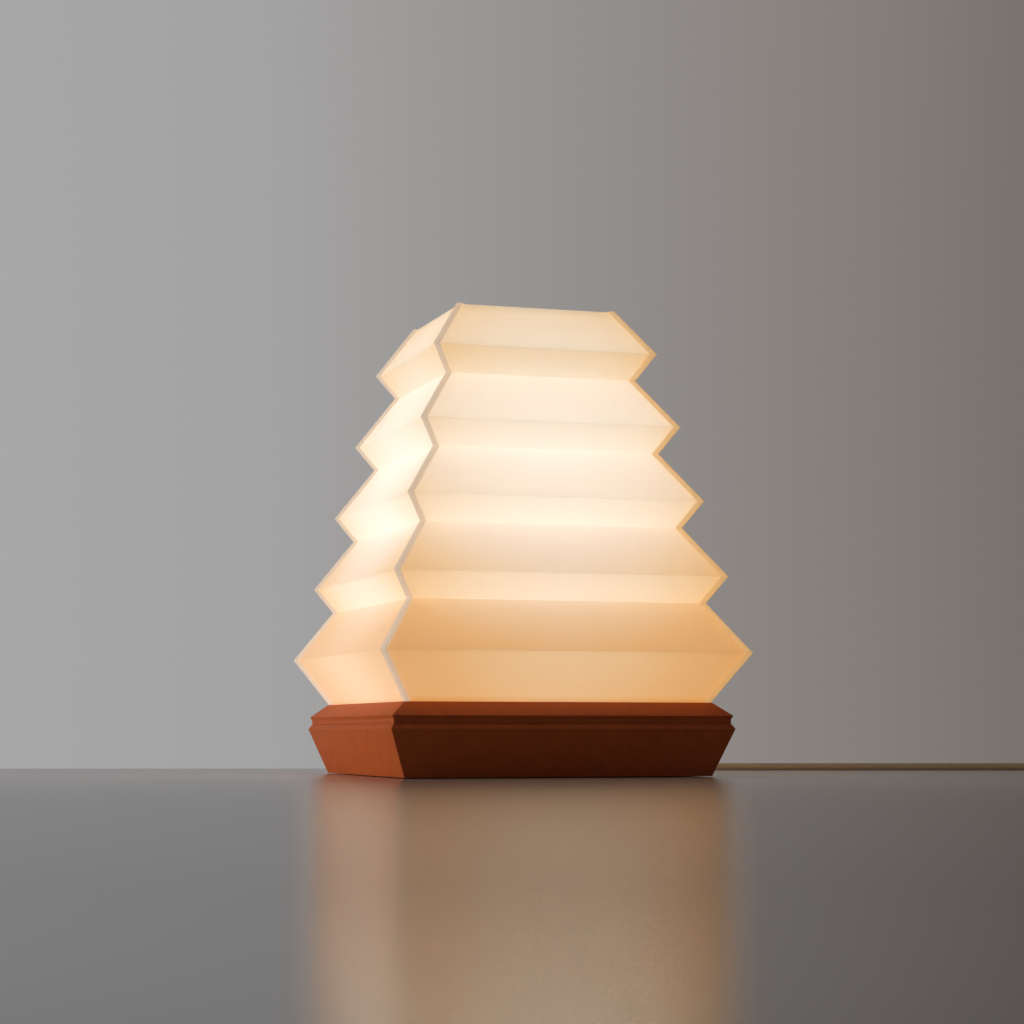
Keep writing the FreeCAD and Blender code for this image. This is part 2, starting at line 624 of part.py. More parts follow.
def make_clamp():
    top = EXIT_HEIGHT + CORD_R + CLAMP_TOP
    save("clamp_anvil", clamp_half(PLATE_TOP, EXIT_HEIGHT - FIT / 2))
    save("clamp_saddle", clamp_half(EXIT_HEIGHT + FIT / 2, top))
    screws = []
    for x in (-CLAMP_SCREW_SPAN / 2, CLAMP_SCREW_SPAN / 2):
        shank = top - PLATE_LOW - FIT
        screws.append(turned_profile([
            (0, -shank), (CLAMP_SCREW_R, -shank), (CLAMP_SCREW_R, 0), (2 * CLAMP_SCREW_R, 0),
            (2 * CLAMP_SCREW_R, CLAMP_SCREW_R), (CLAMP_SCREW_R, 1.4 * CLAMP_SCREW_R),
            (0, 1.4 * CLAMP_SCREW_R)], V(x, CLAMP_Y, top)))
    save("clamp_screws", screws)


def make_wiring():
    wide, deep, tall = BLOCK_SIZE
    block_z = PLATE_TOP + TERMINAL_HEIGHT
    block = box((-wide / 2, BLOCK_FRONT, PLATE_TOP), (wide / 2, BLOCK_BACK, PLATE_TOP + tall))
    screws = []
    well_r = TERMINAL_R + THREAD_FIT
    for x in (-TERMINAL_SPREAD, TERMINAL_SPREAD):
        block = block.cut(rod(TERMINAL_R, V(x, BLOCK_FRONT, block_z), deep, V(0, 1, 0)))
        for y in (BLOCK_FRONT + deep / 4, BLOCK_BACK - deep / 4):
            top = PLATE_TOP + tall
            block = block.cut(rod(well_r, V(x, y, block_z), top - block_z))
            screws.append(rod(TERMINAL_R, V(x, y, block_z + TERMINAL_R + FIT),
                              top - block_z - 2 * TERMINAL_R))
    save("terminal_block", block)
    save("terminal_screws", screws)
    inner_end = CORD_RUN[0][1]
    save("inner_cord", rod(CORD_R, V(0, SHEATH_Y, EXIT_HEIGHT), inner_end - SHEATH_Y, V(0, 1, 0)))
    supply, lamp = [], []
    grip = deep / 4
    stem_low = DECK_HEIGHT - WALL - STEM_BELOW
    for side in (-1, 1):
        x = side * CORE_SPREAD
        terminal_x = side * TERMINAL_SPREAD
        path = [(x, SHEATH_Y, EXIT_HEIGHT), (x, SHEATH_Y - BLOCK_GAP / 3, EXIT_HEIGHT),
                (terminal_x, BLOCK_BACK + BLOCK_GAP / 3, block_z), (terminal_x, BLOCK_BACK, block_z),
                (terminal_x, BLOCK_BACK - grip, block_z)]
        supply.append(tube_along("supply", path[:3] + path[4:], CORE_R)[0])
        rise = [(terminal_x, BLOCK_FRONT + grip, block_z), (terminal_x, BLOCK_FRONT / 2, block_z),
                (x, 0, stem_low / 2 + block_z / 2), (x, 0, stem_low + STEM_BELOW),
                (x, 0, CORE_Z)]
        lamp.append(tube_along("lamp lead", rise[:3] + rise[4:], CORE_R)[0])
    save("supply_leads", supply)
    save("lamp_leads", lamp)


# ---- Switch, plug, tie and coil ----

SWITCH_BACK = SWITCH_Y + SWITCH_LENGTH / 2
SWITCH_FRONT = SWITCH_Y - SWITCH_LENGTH / 2


def switch_outline(low_z, high_z):
    """The long six-sided casing, with its upright edges rounded."""
    wide, end = SWITCH_WIDTH / 2, SWITCH_END_WIDTH / 2
    near, far = SWITCH_FRONT + SWITCH_SHOULDER, SWITCH_BACK - SWITCH_SHOULDER
    spots = [(end, SWITCH_FRONT), (wide, near), (wide, far), (end, SWITCH_BACK),
             (-end, SWITCH_BACK), (-wide, far), (-wide, near), (-end, SWITCH_FRONT)]
    block = prism([V(SWITCH_X + x, y, low_z) for x, y in spots], V(0, 0, high_z - low_z))
    upright = [e for e in block.Edges
               if e.BoundBox.ZLength > SWITCH_ROUND and abs(e.CenterOfMass.x - SWITCH_X) > end + FIT]
    return block.makeFillet(SWITCH_ROUND, upright)


def rocker_blank():
    """The rocker at level: a bar with a shallow V top, on a round axle."""
    half, wide = ROCKER_LENGTH / 2, ROCKER_WIDTH / 2
    top = SWITCH_HEIGHT + ROCKER_PROUD
    low = ROCKER_AXIS - ROCKER_DEPTH / 2
    spots = [(-half, top), (0, SWITCH_HEIGHT - FIT), (half, top), (half, ROCKER_AXIS),
             (half / 2, low), (-half / 2, low), (-half, ROCKER_AXIS)]
    return prism([V(SWITCH_X - wide, SWITCH_Y + y, z) for y, z in spots], V(ROCKER_WIDTH, 0, 0))


def make_switch():
    axle_at = V(SWITCH_X - SWITCH_WIDTH, SWITCH_Y, ROCKER_AXIS)
    across = V(1, 0, 0)
    lower = switch_outline(0, SWITCH_SEAM)
    rim_edges = [e for e in lower.Edges if e.BoundBox.ZMax < FIT]
    lower = lower.makeChamfer(1.0, rim_edges)
    room = box((SWITCH_X - ROCKER_WIDTH / 2 - SWITCH_WALL, SWITCH_Y - ROCKER_LENGTH / 2 - SWITCH_WALL,
                SWITCH_FLOOR),
               (SWITCH_X + ROCKER_WIDTH / 2 + SWITCH_WALL, SWITCH_Y + ROCKER_LENGTH / 2 + SWITCH_WALL,
                SWITCH_SEAM))
    lower = lower.cut(room)
    upper = switch_outline(SWITCH_SEAM, SWITCH_HEIGHT)
    crown = [e for e in upper.Edges if e.BoundBox.ZMin > SWITCH_HEIGHT - FIT]
    upper = upper.makeChamfer(1.4, crown)
    swing = ROCKER_LENGTH / 2 * (1 / math.cos(math.radians(ROCKER_TILT)) - 1) + ROCKER_GAP
    half_y, half_x = ROCKER_LENGTH / 2 + swing + ROCKER_GAP, ROCKER_WIDTH / 2 + ROCKER_GAP
    window = box((SWITCH_X - half_x, SWITCH_Y - half_y, SWITCH_SEAM),
                 (SWITCH_X + half_x, SWITCH_Y + half_y, SWITCH_HEIGHT + WALL))
    axle_length = ROCKER_WIDTH + 2 * SWITCH_WALL
    axle_start = axle_at + across * (SWITCH_WIDTH - axle_length / 2)
    bearing = rod(ROCKER_PIN_R + THREAD_FIT, axle_start - across * FIT, axle_length + 2 * FIT, across)
    upper = upper.cut(window).cut(bearing)
    screws = []
    for y in (SWITCH_FRONT + SWITCH_SHOULDER, SWITCH_BACK - SWITCH_SHOULDER):
        hole = rod(SCREW_R + THREAD_FIT, V(SWITCH_X, y, 0), SWITCH_FLOOR)
        well = rod(CLAMP_SCREW_R + THREAD_FIT, V(SWITCH_X, y, SWITCH_FLOOR), SWITCH_SEAM)
        lower = lower.cut(hole.fuse(well))
        upper = upper.cut(well)
        head = rod(SCREW_R, V(SWITCH_X, y, SWITCH_FLOOR - SCREW_R), SCREW_R)
        shank = rod(CLAMP_SCREW_R, V(SWITCH_X, y, SWITCH_FLOOR - FIT), SWITCH_SEAM)
        slot = box((SWITCH_X - SCREW_R, y - FIT, 0), (SWITCH_X + SCREW_R, y + FIT,
                   SWITCH_FLOOR - SCREW_R / 2))
        screws.append(head.fuse(shank).cut(slot))
    save("switch_lower", lower)
    save("switch_upper", upper)
    save("switch_screws", screws)
    rocker = rocker_blank().fuse(rod(ROCKER_PIN_R, axle_start, axle_length, across))
    rocker.rotate(axle_at, across, ROCKER_TILT)
    save("switch_rocker", rocker)


def make_plug():
    """Flat two-pin plug that lies on the table with its pins towards -X."""
    x, y, z = PLUG_START
    along = V(-1, 0, 0)
    neck_x = x - PLUG_RELIEF
    face_x = neck_x - PLUG_LENGTH
    sleeve = turned_profile([(0, 0), (PLUG_RELIEF_END_R, 0), (PLUG_RELIEF_R, PLUG_RELIEF),
                             (0, PLUG_RELIEF)], V(x, y, z), along)
    for i in range(RELIEF_RINGS):
        ring_x = x - RELIEF_RING - i * RELIEF_PITCH
        share = (x - ring_x) / PLUG_RELIEF
        core_r = PLUG_RELIEF_END_R + (PLUG_RELIEF_R - PLUG_RELIEF_END_R) * share - FIT
        groove = rod(PLUG_RELIEF_R, V(ring_x, y, z), RELIEF_RING, along)
        sleeve = sleeve.cut(groove.cut(rod(core_r, V(ring_x, y, z), RELIEF_RING, along)))
    save("plug_relief", sleeve)
    wide, neck = PLUG_WIDTH / 2, PLUG_NECK_WIDTH / 2
    shoulder_x = neck_x - PLUG_SHOULDER
    spots = [(neck_x, -neck), (shoulder_x, -wide), (face_x, -wide), (face_x, wide),
             (shoulder_x, wide), (neck_x, neck)]
    body = prism([V(px, y + py, 0) for px, py in spots], V(0, 0, 2 * z))
    body = body.makeFillet(PLUG_ROUND, [e for e in body.Edges if e.CenterOfMass.x > face_x + FIT])
    save("plug_body", body)
    pins = []
    for side in (-1, 1):
        pins.append(turned_profile([
            (0, 0), (PIN_R, 0), (PIN_R, PIN_LENGTH), (PIN_R - PIN_TIP, PIN_LENGTH + PIN_TIP),
            (0, PIN_LENGTH + PIN_TIP)], V(face_x, y + side * PIN_SPACING / 2, z), along))
    save("plug_pins", pins)


def arc_from(start, way, end):
    chord = end - start
    half = chord.Length / 2
    angle = way.getAngle(chord)
    bulge = half * math.tan(angle / 2)
    side = (way - chord * (way.dot(chord) / chord.dot(chord))).normalize()
    return Part.Arc(start, start + chord * 0.5 + side * bulge, end).toShape()


def coil_path():
    """Half turns that spiral in on the table, climb one layer, and spiral out again."""
    cx, cy = COIL_CENTRE
    low_z = CORD_R + TIE + TIE_GAP
    inner_r = COIL_R - COIL_IN * COIL_PITCH / 2
    radii = [COIL_R - k * COIL_PITCH / 2 for k in range(COIL_IN)] + [inner_r]
    radii += [inner_r + (k + 1) * COIL_PITCH / 2 for k in range(COIL_OUT)]
    x, z, side = cx + COIL_R, low_z, 1
    stub = 2 * CORD_R
    edges = [Part.LineSegment(V(x, cy + stub, z), V(x, cy, z)).toShape()]
    for k, r in enumerate(radii):
        start, heading = V(x, cy, z), V(0, -side, 0)
        x -= side * 2 * r
        if k == COIL_IN:
            z += LAYER_RISE
            middle = V(x + side * r, cy - side * r, z - LAYER_RISE / 2)
            slope = V(-side * math.pi * r / 2, 0, LAYER_RISE / 2).normalize()
            halfway = [(start, heading, middle, slope), (middle, slope, V(x, cy, z), heading * -1)]
            for piece in halfway:
                edges += quarter_climb(*piece)
        else:
            edges.append(Part.Arc(start, V(x + side * r, cy - side * r, z), V(x, cy, z)).toShape())
        side = -side
    edges.append(Part.LineSegment(V(x, cy, z), V(x, cy - side * stub, z)).toShape())
    return Part.Wire(Part.__sortEdges__(edges))


def quarter_climb(start, start_way, end, end_way):
    """A quarter turn that climbs, as two tangent arcs with legs of one length."""
    span = end - start
    along = span.dot(start_way + end_way)
    spread = 2 * (1 - start_way.dot(end_way))
    leg = (math.sqrt(along ** 2 + spread * span.dot(span)) - along) / spread
    joint = (start + start_way * leg + end - end_way * leg) * 0.5
    return [arc_from(start, start_way, joint), arc_from(end, end_way * -1, joint)]


def least_gap(path, count):
    """Least clear distance between stretches of the coil that are not neighbours along it."""
    spots = path.discretize(Number=count)
    step = path.Length / (count - 1)
    skip = int(4 * math.pi * CORD_R / step)
    least = min(spots[i].distanceToPoint(spots[j])
                for i in range(count) for j in range(i + skip, count))
    return least - 2 * CORD_R


def make_coil():
    path = coil_path()
    coil = swept_tube(path, CORD_R)
    print("coil length %.1f, volume / (section x length) %.4f, least gap %.2f" % (
        path.Length, coil.Volume / (math.pi * CORD_R ** 2 * path.Length), least_gap(path, 900)))
    save("cord_coil", coil)
    return path.Length


def make_tie():
    """A strap round the bundle of turns on the coil's far side."""
    cx, cy = COIL_CENTRE
    x = cx - COIL_PITCH / 2
    spread = (COIL_IN // 2) * COIL_PITCH
    outer_y = cy + COIL_R - COIL_PITCH / 2 + CORD_R + TIE_GAP
    inner_y = outer_y - spread - 2 * CORD_R - 4 * TIE_GAP
    top = TIE + LAYER_RISE + 2 * (CORD_R + TIE_GAP)
    loop = box((x - TIE_WIDTH / 2, inner_y - TIE, 0), (x + TIE_WIDTH / 2, outer_y + TIE, top + TIE))
    long_edges = [e for e in loop.Edges if e.BoundBox.XLength > TIE_WIDTH / 2]
    loop = loop.makeFillet(2 * TIE, long_edges)
    hole = box((x - TIE_WIDTH, inner_y, TIE), (x + TIE_WIDTH, outer_y, top))
    save("coil_tie", loop.cut(hole))


def make_cord():
    run, run_length = tube_along("cord_run", CORD_RUN, CORD_R)
    lead, lead_length = tube_along("cord_lead", CORD_LEAD, CORD_R)
    tail, tail_length = tube_along("cord_tail", CORD_TAIL, CORD_R)
    save("cord_run", run)
    save("cord_lead", lead)
    save("cord_tail", tail)
    coil_length = make_coil()
    outside = run_length - (EXIT_WALL_Y + RELIEF_REACH - CORD_RUN[0][1])
    print("cord from the relief to the plug %.0f mm, switch included" % (
        outside + SWITCH_LENGTH + lead_length + coil_length + tail_length))


if __name__ == "__main__":
    os.makedirs("parts", exist_ok=True)
    make_shade()
    make_base_body()
    make_base_cover()
    make_base_plate()
    make_stem()
    make_lampholder()
    make_bulb()
    make_relief()
    make_clamp()
    make_wiring()
    make_switch()
    make_plug()
    make_cord()
    make_tie()
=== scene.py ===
import json
import math

import bmesh
import bpy
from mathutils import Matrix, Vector

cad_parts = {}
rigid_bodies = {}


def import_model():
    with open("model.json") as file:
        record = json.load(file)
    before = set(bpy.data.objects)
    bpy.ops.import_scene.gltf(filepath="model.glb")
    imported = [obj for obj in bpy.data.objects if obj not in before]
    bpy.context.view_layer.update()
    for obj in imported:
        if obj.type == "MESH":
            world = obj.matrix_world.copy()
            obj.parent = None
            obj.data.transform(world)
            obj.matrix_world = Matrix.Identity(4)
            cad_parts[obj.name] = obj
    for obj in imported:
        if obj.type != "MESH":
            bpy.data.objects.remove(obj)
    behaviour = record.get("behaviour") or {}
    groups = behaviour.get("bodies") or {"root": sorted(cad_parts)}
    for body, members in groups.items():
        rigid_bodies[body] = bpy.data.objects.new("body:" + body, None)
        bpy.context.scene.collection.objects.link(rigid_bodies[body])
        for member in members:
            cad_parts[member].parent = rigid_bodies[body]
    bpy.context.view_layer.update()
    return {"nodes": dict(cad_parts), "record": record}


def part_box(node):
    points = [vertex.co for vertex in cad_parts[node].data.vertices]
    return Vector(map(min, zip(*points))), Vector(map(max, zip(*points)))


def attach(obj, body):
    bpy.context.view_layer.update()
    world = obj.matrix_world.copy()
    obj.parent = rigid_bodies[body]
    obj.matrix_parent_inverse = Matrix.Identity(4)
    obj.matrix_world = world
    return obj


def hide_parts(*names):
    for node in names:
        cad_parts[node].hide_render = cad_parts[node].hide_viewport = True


# Pleated paper table lamp: the looks, in metres, in the frame of the CAD model.

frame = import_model()
nodes = frame["nodes"]
scene = bpy.context.scene

# The camera, worked out from the corners of the lamp in the photograph
VIEW_TURN = math.radians(17.76)  # it looks along +Y, turned this far towards +X
VIEW_TILT = math.radians(5.45)  # and this far up
CAMERA_AT = (-0.528, -1.6485, 0.0303)
LENS = 81.8
SENSOR_WIDTH = 36
NEAREST_SEEN = 0.05

# The lamp's light: the globe's, and the sheets' painted glow, an emission that stands in for the
# light through them, by distance from the lit middle
GLOBE_LIGHT = 2.6
GLOBE_TONES = ((1.0, 0.76, 0.50), (1.0, 0.79, 0.53))
GLOW_MIDDLE = (0.0, 0.0, 0.2)
GLOW_REACH = 0.3
SLANT_FADE = 0.03  # painted shade: a sheet seen edge-on from the globe glows as if this much farther away
PAPER_PAINTED_LIGHT = [(0.095, (0.58, 0.57, 0.55)), (0.12, (0.57, 0.53, 0.47)), (0.145, (0.56, 0.47, 0.36)),
              (0.17, (0.54, 0.375, 0.20)), (0.20, (0.49, 0.26, 0.07)), (0.24, (0.44, 0.19, 0.03))]
PAPER_STRENGTH = 1.0
FRAME_STRENGTH = 0.8
CARD_REACH = 0.25  # painted light: the stays' glow goes by their place from left to right, over this width
CARD_PAINTED_LIGHT = [(0.04, (0.52, 0.45, 0.37)), (0.125, (0.56, 0.42, 0.27)), (0.21, (0.60, 0.37, 0.14))]
CARD_STRENGTH = 0.75
THROUGH_PAPER = (0.89, 0.85, 0.80)
THROUGH_CARD = (0.80, 0.62, 0.42)

# Surfaces
TERRACOTTA = (0.540, 0.112, 0.026)
GRAINS_A_PATCH = 12  # the patches of slightly different colour are this many grains wide
GLOSS_SPREAD = 0.05
BRAID_SCALE = 260
BRAID_TURN = math.radians(45)
BROWN_LEAD = (0.16, 0.07, 0.03)
BLUE_LEAD = (0.03, 0.10, 0.40)
LEAD_EDGE = 0.0004  # one colour turns into the other at X = 0, within this much
WAVES_A_METRE = 3.18  # of a wave texture whose scale is 1
STEM_PITCH = 0.001

# Shapes
SEAM_ANGLE = math.radians(25)  # edges that turn by more than this stay sharp
GLOBE_SEAM = math.radians(40)
THREAD_SEAM = math.radians(50)
FLAT_ANGLE = math.radians(0.5)
SAME_PLACE = 1e-6
GLOBE_R = 0.0475
GLOBE_WALL = 0.0012
GLOBE_STEPS = 28
GLOBE_TURNS = 64
CAP_PITCH = 0.0036
CAP_DEPTH = 0.0007
CAP_WALL = 0.0003
CAP_TURNS = 60
CAP_ROWS_A_PITCH = 12
EDGE_WIDTHS = {
    "base_cover": 0.0007, "base_body": 0.0007, "lampholder_cup": 0.0004,
    "lampholder_sleeve": 0.0005, "switch_lower": 0.0003, "switch_upper": 0.0003,
    "plug_body": 0.0006, "coil_tie": 0.0003,
}
ROCKER_EDGE = 0.0004
CORD_R = 0.0029

# The cord: its places are in millimetres
MM = 0.001
ROUTE = [
    (0.0, 130.0, 14.0), (0.0, 162.0, 14.0), (0.0, 180.5, 9.5), (1.0, 198.0, 4.0),
    (12.6, 219.6, 2.9), (35.1, 236.0, 2.9), (62.5, 240.6, 2.9), (105.3, 230.2, 2.9),
    (158.0, 214.5, 2.9), (218.5, 190.4, 2.9), (502.5, 99.5, 2.9), (514.5, 88.5, 2.9),
    (520.5, 72.5, 2.9), (521.0, 54.0, 8.0), (521.0, 36.0, 8.0),
    (521.0, -26.0, 8.0), (521.0, -36.0, 8.0), (521.0, -50.0, 4.2), (521.0, -62.2, 4.2),
]
TAIL = [
    (514.6, -73.8, 10.5), (514.6, -105.2, 10.5), (504.6, -122.5, 8.7), (487.0, -132.5, 6.85),
    (467.0, -132.5, 6.85),
]
COIL_MIDDLE = (482.0, -68.0)
COIL_R = 39.0
LOW_Z, HIGH_Z = 4.2, 10.5  # the two layers of the coil
HALF_TURNS = [39.0, 35.8, 32.6, 29.4, 26.2, 23.0, 26.2, 29.4, 32.6, 35.8]  # their radii
CLIMB = 5  # the half turn that goes from the lower layer to the upper
CORNERS = 8  # control points in each half turn

# The table, measured along the view from the lamp's middle, and the light
TABLE_NEAR, TABLE_FAR = -2.4, 0.343
TABLE_SIDE = 2.2
TABLE_THICK = 0.03
TABLE_ROUND = 0.012
TABLE_ROUND_STEPS = 6
TABLE_ROUGH = 0.2
TABLE_PAINTED_TONES = ((0.16, 0.15, 0.145), (0.70, 0.62, 0.57))  # painted shade near the camera, and painted light at the far edge
TABLE_DARK_TO = -1.2
KEY_AT, KEY_TARGET = (-2.2, 0.15, 0.42), (0, 0, 0.15)
KEY_SIZE, KEY_POWER, KEY_COLOR = (1.4, 0.8), 11.5, (0.86, 0.94, 1.0)
LOW_AT, LOW_TARGET = (-1.2, 0.12, 0.04), (0, 0, 0.02)
LOW_SIZE, LOW_POWER, LOW_COLOR = (0.4, 0.05), 0.06, (1.0, 0.97, 0.95)
LOW_SPREAD = math.radians(14)
AIR_COLOR = (0.95, 0.97, 1.0)
AIR_LIGHT = 0.09
BACKDROP_SIDE = 0.25  # sideways part of the view direction at either end of the backdrop
# painted light: the backdrop's colours, lighter on the left as if lit from that side
BACKDROP = [(0.0, (0.40, 0.395, 0.405)), (0.3, (0.37, 0.365, 0.365)), (0.5, (0.31, 0.295, 0.285)),
            (0.8, (0.235, 0.21, 0.195)), (1.0, (0.165, 0.145, 0.13))]


# ---- Materials ----

def node_in(tree, kind, **values):
    made = tree.nodes.new(kind)
    for key, value in values.items():
        setattr(made, key, value)
    return made


def fill_ramp(ramp, rows, reach=1.0):
    """Gives a colour ramp its stops from (place, colour) rows, whose places run from 0 to reach."""
    stops = ramp.color_ramp.elements
    while len(stops) < len(rows):
        stops.new(0.5)
    for stop, (place, color) in zip(stops, rows):
        stop.position = place / reach
        stop.color = (*color, 1)


class Look:
    """A node tree under construction: one Principled shader and its procedural inputs."""

    def __init__(self, name, color, rough=0.5, metal=0.0):
        self.mat = bpy.data.materials.new(name)
        self.mat.use_nodes = True
        self.tree = self.mat.node_tree
        self.tree.nodes.clear()
        self.out = self.tree.nodes.new("ShaderNodeOutputMaterial")
        self.main = self.tree.nodes.new("ShaderNodeBsdfPrincipled")
        self.main.inputs["Base Color"].default_value = (*color, 1)
        self.main.inputs["Roughness"].default_value = rough
        self.main.inputs["Metallic"].default_value = metal
        self.link(self.main.outputs[0], self.out.inputs["Surface"])
        self.place = self.tree.nodes.new("ShaderNodeTexCoord").outputs["Object"]

    def link(self, a, b):
        self.tree.links.new(a, b)

    def node(self, kind, **values):
        return node_in(self.tree, kind, **values)

    def noise(self, scale, detail=3.0, rough=0.55, stretch=None):
        """Noise over the object, from 0 to 1; scale is in cells a metre."""
        made = self.node("ShaderNodeTexNoise")
        made.inputs["Scale"].default_value = scale
        made.inputs["Detail"].default_value = detail
        made.inputs["Roughness"].default_value = rough
        self.link(self.stretched(stretch), made.inputs["Vector"])
        return made.outputs["Fac"]

    def stretched(self, stretch):
        if stretch is None:
            return self.place
        mapping = self.node("ShaderNodeMapping")
        mapping.inputs["Scale"].default_value = stretch
        self.link(self.place, mapping.inputs["Vector"])
        return mapping.outputs[0]

    def ramp(self, value, low, high, start=0.35, end=0.65):
        """Turns a 0 to 1 value into a colour between two others."""
        made = self.node("ShaderNodeValToRGB")
        fill_ramp(made, ((start, low), (end, high)))
        self.link(value, made.inputs["Fac"])
        return made.outputs["Color"]

    def between(self, value, low, high, start=0.3, end=0.7):
        """Turns a value from start to end into a number from low to high."""
        made = self.node("ShaderNodeMapRange")
        for name, number in zip(("From Min", "From Max", "To Min", "To Max"),
                                (start, end, low, high)):
            made.inputs[name].default_value = number
        self.link(value, made.inputs["Value"])
        return made.outputs[0]

    def bump(self, value, distance, strength=1.0):
        made = self.node("ShaderNodeBump")
        made.inputs["Strength"].default_value = strength
        made.inputs["Distance"].default_value = distance
        self.link(value, made.inputs["Height"])
        self.link(made.outputs[0], self.main.inputs["Normal"])
        return made.outputs[0]

    def color(self, socket):
        self.link(socket, self.main.inputs["Base Color"])

    def rough(self, socket):
        self.link(socket, self.main.inputs["Roughness"])

    def shine(self, level):
        self.main.inputs["Specular IOR Level"].default_value = level


def tint(color, factor):
    return tuple(c * factor for c in color)


def plain_look(name, color, rough, metal=0.0, grain=900, spread=0.06, depth=0.00002, shine=0.5):
    """A made surface: its colour and gloss vary a little over a fine grain."""
    look = Look(name, color, rough, metal)
    fine = look.noise(grain)
    patches = look.noise(grain / GRAINS_A_PATCH)
    look.color(look.ramp(patches, tint(color, 1 - spread), tint(color, 1 + spread)))
    look.rough(look.between(fine, rough - GLOSS_SPREAD, rough + GLOSS_SPREAD))
    if depth:
        look.bump(fine, depth)
    look.shine(shine)
    return look.mat


def paint_glow(look, value, rows, reach, strength):
    """A painted glow, an emission inside a sheet that stands in for light through it, whose colours
    follow a value from 0 to reach.
    """
    ramp = look.node("ShaderNodeValToRGB")
    fill_ramp(ramp, rows, reach)
    look.link(look.between(value, 0.0, 1.0, start=0.0, end=reach), ramp.inputs["Fac"])
    look.link(ramp.outputs["Color"], look.main.inputs["Emission Color"])
    look.main.inputs["Emission Strength"].default_value = strength


def painted_lamp_light(look, strength):
    """Painted light: the glow warms and fades away from the lit globe, and as painted shade it
    fades sooner where the sheet slants to it.
    """
    ray = look.node("ShaderNodeVectorMath", operation="SUBTRACT")
    ray.inputs[1].default_value = GLOW_MIDDLE
    look.link(look.place, ray.inputs[0])
    away = look.node("ShaderNodeVectorMath", operation="LENGTH")
    look.link(ray.outputs["Vector"], away.inputs[0])
    along = look.node("ShaderNodeVectorMath", operation="NORMALIZE")
    look.link(ray.outputs["Vector"], along.inputs[0])
    slant = look.node("ShaderNodeVectorMath", operation="DOT_PRODUCT")
    look.link(along.outputs["Vector"], slant.inputs[0])
    look.link(look.node("ShaderNodeNewGeometry").outputs["True Normal"], slant.inputs[1])
    square_on = look.node("ShaderNodeMath", operation="ABSOLUTE")
    look.link(slant.outputs["Value"], square_on.inputs[0])
    farther = look.node("ShaderNodeMath", operation="ADD")
    look.link(away.outputs["Value"], farther.inputs[0])
    fade = look.between(square_on.outputs[0], SLANT_FADE, 0.0, start=0.0, end=1.0)
    look.link(fade, farther.inputs[1])
    paint_glow(look, farther.outputs[0], PAPER_PAINTED_LIGHT, GLOW_REACH, strength)


def let_through(look, normal, share, color):
    """Lets a share of the light on one side out on the other, as paper does."""
    through = look.node("ShaderNodeBsdfTranslucent")
    through.inputs["Color"].default_value = (*color, 1)
    look.link(normal, through.inputs["Normal"])
    mix = look.node("ShaderNodeMixShader")
    mix.inputs["Fac"].default_value = share
    look.link(look.main.outputs[0], mix.inputs[1])
    look.link(through.outputs[0], mix.inputs[2])
    look.link(mix.outputs[0], look.out.inputs["Surface"])
    return look.mat


def paper_look():
    """Thin pleating paper: fine fibres, even and white, and it lets the lamp's light through, with
    a painted glow added to that light.
    """
    color = (0.88, 0.86, 0.83)
    look = Look("pleating paper", color, rough=0.8)
    look.color(look.ramp(look.noise(40), tint(color, 0.99), tint(color, 1.01)))
    fibres = look.noise(1500, detail=2.0, rough=0.6, stretch=(0.25, 0.25, 1.0))
    normal = look.bump(fibres, distance=0.00005, strength=0.3)
    look.shine(0.2)
    # painted light: an emission in the paper stands in for the lamp's light coming through it
    painted_lamp_light(look, PAPER_STRENGTH)
    return let_through(look, normal, share=0.5, color=THROUGH_PAPER)


def card_look():
    """Stiff card of the corner stays, with a painted glow: paler on the left, standing for the day
    that falls there, else amber.
    """
    color = (0.82, 0.77, 0.70)
    look = Look("stay card", color, rough=0.7)
    look.color(look.ramp(look.noise(90), tint(color, 0.96), tint(color, 1.03)))
    normal = look.bump(look.noise(1100), distance=0.00005, strength=0.5)
    across = look.node("ShaderNodeSeparateXYZ")
    look.link(look.place, across.inputs[0])
    painted_side_light = look.node("ShaderNodeMath", operation="ADD")
    painted_side_light.inputs[1].default_value = CARD_REACH / 2
    look.link(across.outputs["X"], painted_side_light.inputs[0])
    # painted light: the stays glow paler on the left and amber on the right, by their place alone
    paint_glow(look, painted_side_light.outputs[0], CARD_PAINTED_LIGHT, CARD_REACH, CARD_STRENGTH)
    return let_through(look, normal, share=0.3, color=THROUGH_CARD)


def frame_look():
    """White coated frame inside the paper, with a painted glow that stands in for the lamp's light
    on it.
    """
    color = (0.82, 0.80, 0.76)
    look = Look("white powder coat", color)
    fine = look.noise(1500)
    look.color(look.ramp(look.noise(120), tint(color, 0.97), tint(color, 1.02)))
    look.rough(look.between(fine, 0.45, 0.55))
    normal = look.bump(fine, distance=0.00002)
    # painted light: the frame glows like the paper around it
    painted_lamp_light(look, FRAME_STRENGTH)
    return let_through(look, normal, share=0.3, color=THROUGH_PAPER)


def lit_globe_look():
    """The opal globe of the lit bulb, as warm as the photograph shows."""
    look = Look("lit opal globe", (0.92, 0.90, 0.86), rough=0.3)
    look.main.inputs["Emission Strength"].default_value = GLOBE_LIGHT
    look.link(look.ramp(look.noise(25), *GLOBE_TONES), look.main.inputs["Emission Color"])
    return look.mat


def lead_look():
    """Two insulated leads, one brown and one blue, told apart by their side."""
    look = Look("insulated leads", (0.2, 0.1, 0.05), rough=0.35)
    parts = look.node("ShaderNodeSeparateXYZ")
    look.link(look.place, parts.inputs[0])
    side = look.between(parts.outputs["X"], 0.0, 1.0, start=-LEAD_EDGE, end=LEAD_EDGE)
    look.color(look.ramp(side, BROWN_LEAD, BLUE_LEAD))
    return look.mat


